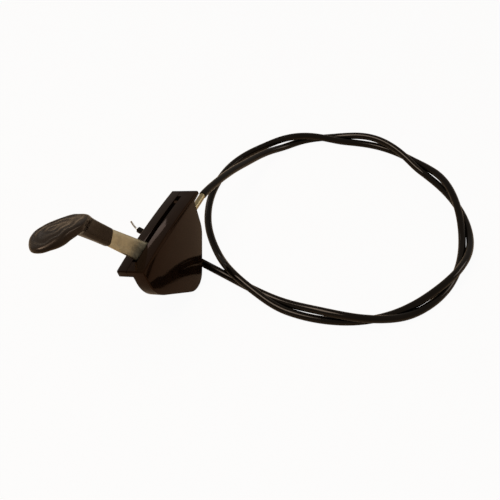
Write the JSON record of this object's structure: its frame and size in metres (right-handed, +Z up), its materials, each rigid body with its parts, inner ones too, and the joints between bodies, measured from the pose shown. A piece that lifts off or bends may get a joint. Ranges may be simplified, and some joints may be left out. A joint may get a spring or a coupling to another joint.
{
  "type": "throttle cable",
  "caption": "Hand throttle control: slotted black housing, flat steel lever with bent paddle knob, and a long black cable lying in two loose turns.",
  "frame": {"origin": "middle of the control's bounding box (without the free cable) on the ground it lies on", "axes": "+X along the fascia's slot from the lever's rest end to the cable's end, +Z up, +Y to the hidden side; the housing leans 19.1 degrees to +Y about X"},
  "size_m": [0.297, 0.2437, 0.1146],
  "materials": {
    "housing_plastic": "glossy dark brown-black moulding",
    "knob_plastic": "black moulding, satin",
    "cable_plastic": "black extruded jacket, fairly glossy",
    "zinc_steel": "zinc plated steel, slightly yellow",
    "spring_steel": "drawn spring steel",
    "bronze": "sintered bronze",
    "fibre": "brown friction fibre"
  },
  "bodies": {
    "housing": {"housing_right": "housing_plastic", "housing_left": "housing_plastic", "pivot_pin": "zinc_steel", "friction_washer_right": "fibre", "friction_washer_left": "fibre", "spring_washer": "spring_steel", "pin_washer": "zinc_steel", "pin_clip": "spring_steel", "housing_screw_1": "zinc_steel", "housing_screw_2": "zinc_steel", "housing_screw_3": "zinc_steel", "conduit_fork": "zinc_steel", "conduit_ferrule": "zinc_steel", "cable_jacket": "cable_plastic", "cable_end_sleeve": "cable_plastic"},
    "lever": {"lever_arm": "zinc_steel", "pivot_bush": "bronze", "lever_knob": "knob_plastic", "knob_rivet": "zinc_steel"},
    "wire_inner": {"core_wire_inner": "spring_steel"},
    "wire_end": {"core_wire_end": "spring_steel"}
  },
  "joints": [
    {"name": "lever_pivot", "type": "hinge", "parent": "housing", "child": "lever", "pos_m": [0.02036, -0.01471, 0.01707], "axis": [0, 0.9448, -0.3275], "range_deg": [-1.5, 70]},
    {"name": "wire_pull", "type": "slide", "parent": "housing", "child": "wire_inner", "axis": [1, 0, 0], "range_m": [-0.0008, 0.0262]},
    {"name": "wire_end_slide", "type": "slide", "parent": "housing", "child": "wire_end", "axis": [0.2235, 0.9747, 0], "range_m": [-0.0008, 0.0262]}
  ],
  "couplings": [
    {"joint": "wire_pull", "follows": "lever_pivot", "m_per_rad": 0.0212},
    {"joint": "wire_end_slide", "follows": "lever_pivot", "m_per_rad": 0.0212}
  ]
}
